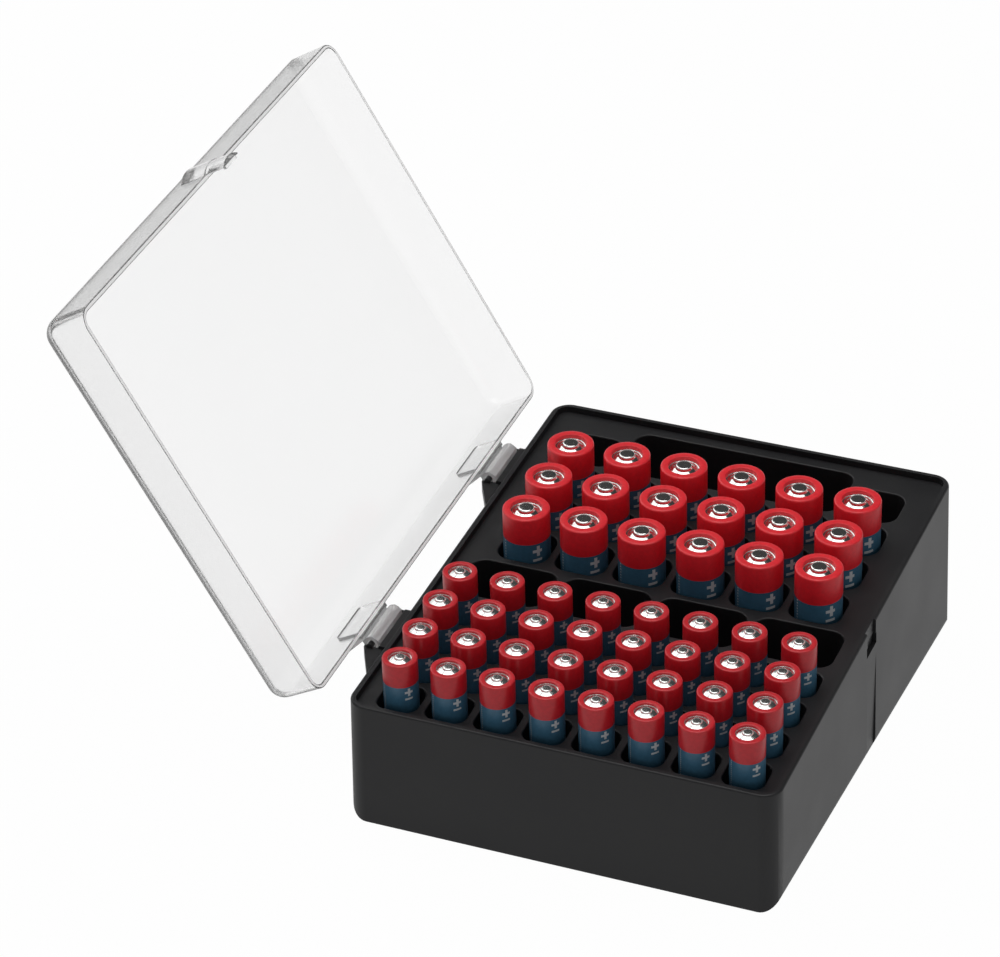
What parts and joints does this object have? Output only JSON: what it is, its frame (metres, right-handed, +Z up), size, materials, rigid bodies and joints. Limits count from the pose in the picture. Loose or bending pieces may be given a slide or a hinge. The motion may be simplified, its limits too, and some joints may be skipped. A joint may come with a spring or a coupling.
{
  "type": "battery storage box",
  "caption": "Hinged storage box for batteries: a sloping moulded tray of wells, a clear lid that swings on clip-over hinges and closes with a tongue latch, and cells that lift out.",
  "frame": {"origin": "bottom centre of the whole box's bounding box, lid open, on the table it stands on", "axes": "+Z up; +X across, from the hinged side to the latch side; +Y from the low front to the high rear"},
  "size_m": [0.2179, 0.1864, 0.1712],
  "materials": {
    "black_plastic": "satin moulded polypropylene",
    "clear_plastic": "frosted clear moulded plastic",
    "aa_cell": "metallised film sleeve, red over dark teal",
    "aaa_cell": "metallised film sleeve, red over dark teal"
  },
  "bodies": {
    "tray": {"base_tray": "black_plastic"},
    "lid": {"lid": "clear_plastic"},
    "aa_cell_row1_1": {"aa_cell_row1_1": "aa_cell"},
    "aa_cell_row1_2": {"aa_cell_row1_2": "aa_cell"},
    "aa_cell_row1_3": {"aa_cell_row1_3": "aa_cell"},
    "aa_cell_row1_4": {"aa_cell_row1_4": "aa_cell"},
    "aa_cell_row1_5": {"aa_cell_row1_5": "aa_cell"},
    "aa_cell_row1_6": {"aa_cell_row1_6": "aa_cell"},
    "aa_cell_row2_1": {"aa_cell_row2_1": "aa_cell"},
    "aa_cell_row2_2": {"aa_cell_row2_2": "aa_cell"},
    "aa_cell_row2_3": {"aa_cell_row2_3": "aa_cell"},
    "aa_cell_row2_4": {"aa_cell_row2_4": "aa_cell"},
    "aa_cell_row2_5": {"aa_cell_row2_5": "aa_cell"},
    "aa_cell_row2_6": {"aa_cell_row2_6": "aa_cell"},
    "aa_cell_row3_1": {"aa_cell_row3_1": "aa_cell"},
    "aa_cell_row3_2": {"aa_cell_row3_2": "aa_cell"},
    "aa_cell_row3_3": {"aa_cell_row3_3": "aa_cell"},
    "aa_cell_row3_4": {"aa_cell_row3_4": "aa_cell"},
    "aa_cell_row3_5": {"aa_cell_row3_5": "aa_cell"},
    "aa_cell_row3_6": {"aa_cell_row3_6": "aa_cell"},
    "aaa_cell_row1_1": {"aaa_cell_row1_1": "aaa_cell"},
    "aaa_cell_row1_2": {"aaa_cell_row1_2": "aaa_cell"},
    "aaa_cell_row1_3": {"aaa_cell_row1_3": "aaa_cell"},
    "aaa_cell_row1_4": {"aaa_cell_row1_4": "aaa_cell"},
    "aaa_cell_row1_5": {"aaa_cell_row1_5": "aaa_cell"},
    "aaa_cell_row1_6": {"aaa_cell_row1_6": "aaa_cell"},
    "aaa_cell_row1_7": {"aaa_cell_row1_7": "aaa_cell"},
    "aaa_cell_row1_8": {"aaa_cell_row1_8": "aaa_cell"},
    "aaa_cell_row2_1": {"aaa_cell_row2_1": "aaa_cell"},
    "aaa_cell_row2_2": {"aaa_cell_row2_2": "aaa_cell"},
    "aaa_cell_row2_3": {"aaa_cell_row2_3": "aaa_cell"},
    "aaa_cell_row2_4": {"aaa_cell_row2_4": "aaa_cell"},
    "aaa_cell_row2_5": {"aaa_cell_row2_5": "aaa_cell"},
    "aaa_cell_row2_6": {"aaa_cell_row2_6": "aaa_cell"},
    "aaa_cell_row2_7": {"aaa_cell_row2_7": "aaa_cell"},
    "aaa_cell_row2_8": {"aaa_cell_row2_8": "aaa_cell"},
    "aaa_cell_row3_1": {"aaa_cell_row3_1": "aaa_cell"},
    "aaa_cell_row3_2": {"aaa_cell_row3_2": "aaa_cell"},
    "aaa_cell_row3_3": {"aaa_cell_row3_3": "aaa_cell"},
    "aaa_cell_row3_4": {"aaa_cell_row3_4": "aaa_cell"},
    "aaa_cell_row3_5": {"aaa_cell_row3_5": "aaa_cell"},
    "aaa_cell_row3_6": {"aaa_cell_row3_6": "aaa_cell"},
    "aaa_cell_row3_7": {"aaa_cell_row3_7": "aaa_cell"},
    "aaa_cell_row3_8": {"aaa_cell_row3_8": "aaa_cell"},
    "aaa_cell_row4_1": {"aaa_cell_row4_1": "aaa_cell"},
    "aaa_cell_row4_2": {"aaa_cell_row4_2": "aaa_cell"},
    "aaa_cell_row4_3": {"aaa_cell_row4_3": "aaa_cell"},
    "aaa_cell_row4_4": {"aaa_cell_row4_4": "aaa_cell"},
    "aaa_cell_row4_5": {"aaa_cell_row4_5": "aaa_cell"},
    "aaa_cell_row4_6": {"aaa_cell_row4_6": "aaa_cell"},
    "aaa_cell_row4_7": {"aaa_cell_row4_7": "aaa_cell"},
    "aaa_cell_row4_8": {"aaa_cell_row4_8": "aaa_cell"}
  },
  "joints": [
    {"name": "lid_hinge", "type": "hinge", "parent": "tray", "child": "lid", "pos_m": [-0.02707, 0.00283, 0.04756], "axis": [0, -0.9962, -0.0875], "range_deg": [-120.1, 0]},
    {"name": "aa_cell_row1_1_lift", "type": "slide", "parent": "tray", "child": "aa_cell_row1_1", "axis": [0, -0.0875, 0.9962], "range_m": [0, 0.045]},
    {"name": "aa_cell_row1_2_lift", "type": "slide", "parent": "tray", "child": "aa_cell_row1_2", "axis": [0, -0.0875, 0.9962], "range_m": [0, 0.045]},
    {"name": "aa_cell_row1_3_lift", "type": "slide", "parent": "tray", "child": "aa_cell_row1_3", "axis": [0, -0.0875, 0.9962], "range_m": [0, 0.045]},
    {"name": "aa_cell_row1_4_lift", "type": "slide", "parent": "tray", "child": "aa_cell_row1_4", "axis": [0, -0.0875, 0.9962], "range_m": [0, 0.045]},
    {"name": "aa_cell_row1_5_lift", "type": "slide", "parent": "tray", "child": "aa_cell_row1_5", "axis": [0, -0.0875, 0.9962], "range_m": [0, 0.045]},
    {"name": "aa_cell_row1_6_lift", "type": "slide", "parent": "tray", "child": "aa_cell_row1_6", "axis": [0, -0.0875, 0.9962], "range_m": [0, 0.045]},
    {"name": "aa_cell_row2_1_lift", "type": "slide", "parent": "tray", "child": "aa_cell_row2_1", "axis": [0, -0.0875, 0.9962], "range_m": [0, 0.045]},
    {"name": "aa_cell_row2_2_lift", "type": "slide", "parent": "tray", "child": "aa_cell_row2_2", "axis": [0, -0.0875, 0.9962], "range_m": [0, 0.045]},
    {"name": "aa_cell_row2_3_lift", "type": "slide", "parent": "tray", "child": "aa_cell_row2_3", "axis": [0, -0.0875, 0.9962], "range_m": [0, 0.045]},
    {"name": "aa_cell_row2_4_lift", "type": "slide", "parent": "tray", "child": "aa_cell_row2_4", "axis": [0, -0.0875, 0.9962], "range_m": [0, 0.045]},
    {"name": "aa_cell_row2_5_lift", "type": "slide", "parent": "tray", "child": "aa_cell_row2_5", "axis": [0, -0.0875, 0.9962], "range_m": [0, 0.045]},
    {"name": "aa_cell_row2_6_lift", "type": "slide", "parent": "tray", "child": "aa_cell_row2_6", "axis": [0, -0.0875, 0.9962], "range_m": [0, 0.045]},
    {"name": "aa_cell_row3_1_lift", "type": "slide", "parent": "tray", "child": "aa_cell_row3_1", "axis": [0, -0.0875, 0.9962], "range_m": [0, 0.045]},
    {"name": "aa_cell_row3_2_lift", "type": "slide", "parent": "tray", "child": "aa_cell_row3_2", "axis": [0, -0.0875, 0.9962], "range_m": [0, 0.045]},
    {"name": "aa_cell_row3_3_lift", "type": "slide", "parent": "tray", "child": "aa_cell_row3_3", "axis": [0, -0.0875, 0.9962], "range_m": [0, 0.045]},
    {"name": "aa_cell_row3_4_lift", "type": "slide", "parent": "tray", "child": "aa_cell_row3_4", "axis": [0, -0.0875, 0.9962], "range_m": [0, 0.045]},
    {"name": "aa_cell_row3_5_lift", "type": "slide", "parent": "tray", "child": "aa_cell_row3_5", "axis": [0, -0.0875, 0.9962], "range_m": [0, 0.045]},
    {"name": "aa_cell_row3_6_lift", "type": "slide", "parent": "tray", "child": "aa_cell_row3_6", "axis": [0, -0.0875, 0.9962], "range_m": [0, 0.045]},
    {"name": "aaa_cell_row1_1_lift", "type": "slide", "parent": "tray", "child": "aaa_cell_row1_1", "axis": [0, -0.0875, 0.9962], "range_m": [0, 0.04]},
    {"name": "aaa_cell_row1_2_lift", "type": "slide", "parent": "tray", "child": "aaa_cell_row1_2", "axis": [0, -0.0875, 0.9962], "range_m": [0, 0.04]},
    {"name": "aaa_cell_row1_3_lift", "type": "slide", "parent": "tray", "child": "aaa_cell_row1_3", "axis": [0, -0.0875, 0.9962], "range_m": [0, 0.04]},
    {"name": "aaa_cell_row1_4_lift", "type": "slide", "parent": "tray", "child": "aaa_cell_row1_4", "axis": [0, -0.0875, 0.9962], "range_m": [0, 0.04]},
    {"name": "aaa_cell_row1_5_lift", "type": "slide", "parent": "tray", "child": "aaa_cell_row1_5", "axis": [0, -0.0875, 0.9962], "range_m": [0, 0.04]},
    {"name": "aaa_cell_row1_6_lift", "type": "slide", "parent": "tray", "child": "aaa_cell_row1_6", "axis": [0, -0.0875, 0.9962], "range_m": [0, 0.04]},
    {"name": "aaa_cell_row1_7_lift", "type": "slide", "parent": "tray", "child": "aaa_cell_row1_7", "axis": [0, -0.0875, 0.9962], "range_m": [0, 0.04]},
    {"name": "aaa_cell_row1_8_lift", "type": "slide", "parent": "tray", "child": "aaa_cell_row1_8", "axis": [0, -0.0875, 0.9962], "range_m": [0, 0.04]},
    {"name": "aaa_cell_row2_1_lift", "type": "slide", "parent": "tray", "child": "aaa_cell_row2_1", "axis": [0, -0.0875, 0.9962], "range_m": [0, 0.04]},
    {"name": "aaa_cell_row2_2_lift", "type": "slide", "parent": "tray", "child": "aaa_cell_row2_2", "axis": [0, -0.0875, 0.9962], "range_m": [0, 0.04]},
    {"name": "aaa_cell_row2_3_lift", "type": "slide", "parent": "tray", "child": "aaa_cell_row2_3", "axis": [0, -0.0875, 0.9962], "range_m": [0, 0.04]},
    {"name": "aaa_cell_row2_4_lift", "type": "slide", "parent": "tray", "child": "aaa_cell_row2_4", "axis": [0, -0.0875, 0.9962], "range_m": [0, 0.04]},
    {"name": "aaa_cell_row2_5_lift", "type": "slide", "parent": "tray", "child": "aaa_cell_row2_5", "axis": [0, -0.0875, 0.9962], "range_m": [0, 0.04]},
    {"name": "aaa_cell_row2_6_lift", "type": "slide", "parent": "tray", "child": "aaa_cell_row2_6", "axis": [0, -0.0875, 0.9962], "range_m": [0, 0.04]},
    {"name": "aaa_cell_row2_7_lift", "type": "slide", "parent": "tray", "child": "aaa_cell_row2_7", "axis": [0, -0.0875, 0.9962], "range_m": [0, 0.04]},
    {"name": "aaa_cell_row2_8_lift", "type": "slide", "parent": "tray", "child": "aaa_cell_row2_8", "axis": [0, -0.0875, 0.9962], "range_m": [0, 0.04]},
    {"name": "aaa_cell_row3_1_lift", "type": "slide", "parent": "tray", "child": "aaa_cell_row3_1", "axis": [0, -0.0875, 0.9962], "range_m": [0, 0.04]},
    {"name": "aaa_cell_row3_2_lift", "type": "slide", "parent": "tray", "child": "aaa_cell_row3_2", "axis": [0, -0.0875, 0.9962], "range_m": [0, 0.04]},
    {"name": "aaa_cell_row3_3_lift", "type": "slide", "parent": "tray", "child": "aaa_cell_row3_3", "axis": [0, -0.0875, 0.9962], "range_m": [0, 0.04]},
    {"name": "aaa_cell_row3_4_lift", "type": "slide", "parent": "tray", "child": "aaa_cell_row3_4", "axis": [0, -0.0875, 0.9962], "range_m": [0, 0.04]},
    {"name": "aaa_cell_row3_5_lift", "type": "slide", "parent": "tray", "child": "aaa_cell_row3_5", "axis": [0, -0.0875, 0.9962], "range_m": [0, 0.04]},
    {"name": "aaa_cell_row3_6_lift", "type": "slide", "parent": "tray", "child": "aaa_cell_row3_6", "axis": [0, -0.0875, 0.9962], "range_m": [0, 0.04]},
    {"name": "aaa_cell_row3_7_lift", "type": "slide", "parent": "tray", "child": "aaa_cell_row3_7", "axis": [0, -0.0875, 0.9962], "range_m": [0, 0.04]},
    {"name": "aaa_cell_row3_8_lift", "type": "slide", "parent": "tray", "child": "aaa_cell_row3_8", "axis": [0, -0.0875, 0.9962], "range_m": [0, 0.04]},
    {"name": "aaa_cell_row4_1_lift", "type": "slide", "parent": "tray", "child": "aaa_cell_row4_1", "axis": [0, -0.0875, 0.9962], "range_m": [0, 0.04]},
    {"name": "aaa_cell_row4_2_lift", "type": "slide", "parent": "tray", "child": "aaa_cell_row4_2", "axis": [0, -0.0875, 0.9962], "range_m": [0, 0.04]},
    {"name": "aaa_cell_row4_3_lift", "type": "slide", "parent": "tray", "child": "aaa_cell_row4_3", "axis": [0, -0.0875, 0.9962], "range_m": [0, 0.04]},
    {"name": "aaa_cell_row4_4_lift", "type": "slide", "parent": "tray", "child": "aaa_cell_row4_4", "axis": [0, -0.0875, 0.9962], "range_m": [0, 0.04]},
    {"name": "aaa_cell_row4_5_lift", "type": "slide", "parent": "tray", "child": "aaa_cell_row4_5", "axis": [0, -0.0875, 0.9962], "range_m": [0, 0.04]},
    {"name": "aaa_cell_row4_6_lift", "type": "slide", "parent": "tray", "child": "aaa_cell_row4_6", "axis": [0, -0.0875, 0.9962], "range_m": [0, 0.04]},
    {"name": "aaa_cell_row4_7_lift", "type": "slide", "parent": "tray", "child": "aaa_cell_row4_7", "axis": [0, -0.0875, 0.9962], "range_m": [0, 0.04]},
    {"name": "aaa_cell_row4_8_lift", "type": "slide", "parent": "tray", "child": "aaa_cell_row4_8", "axis": [0, -0.0875, 0.9962], "range_m": [0, 0.04]}
  ]
}
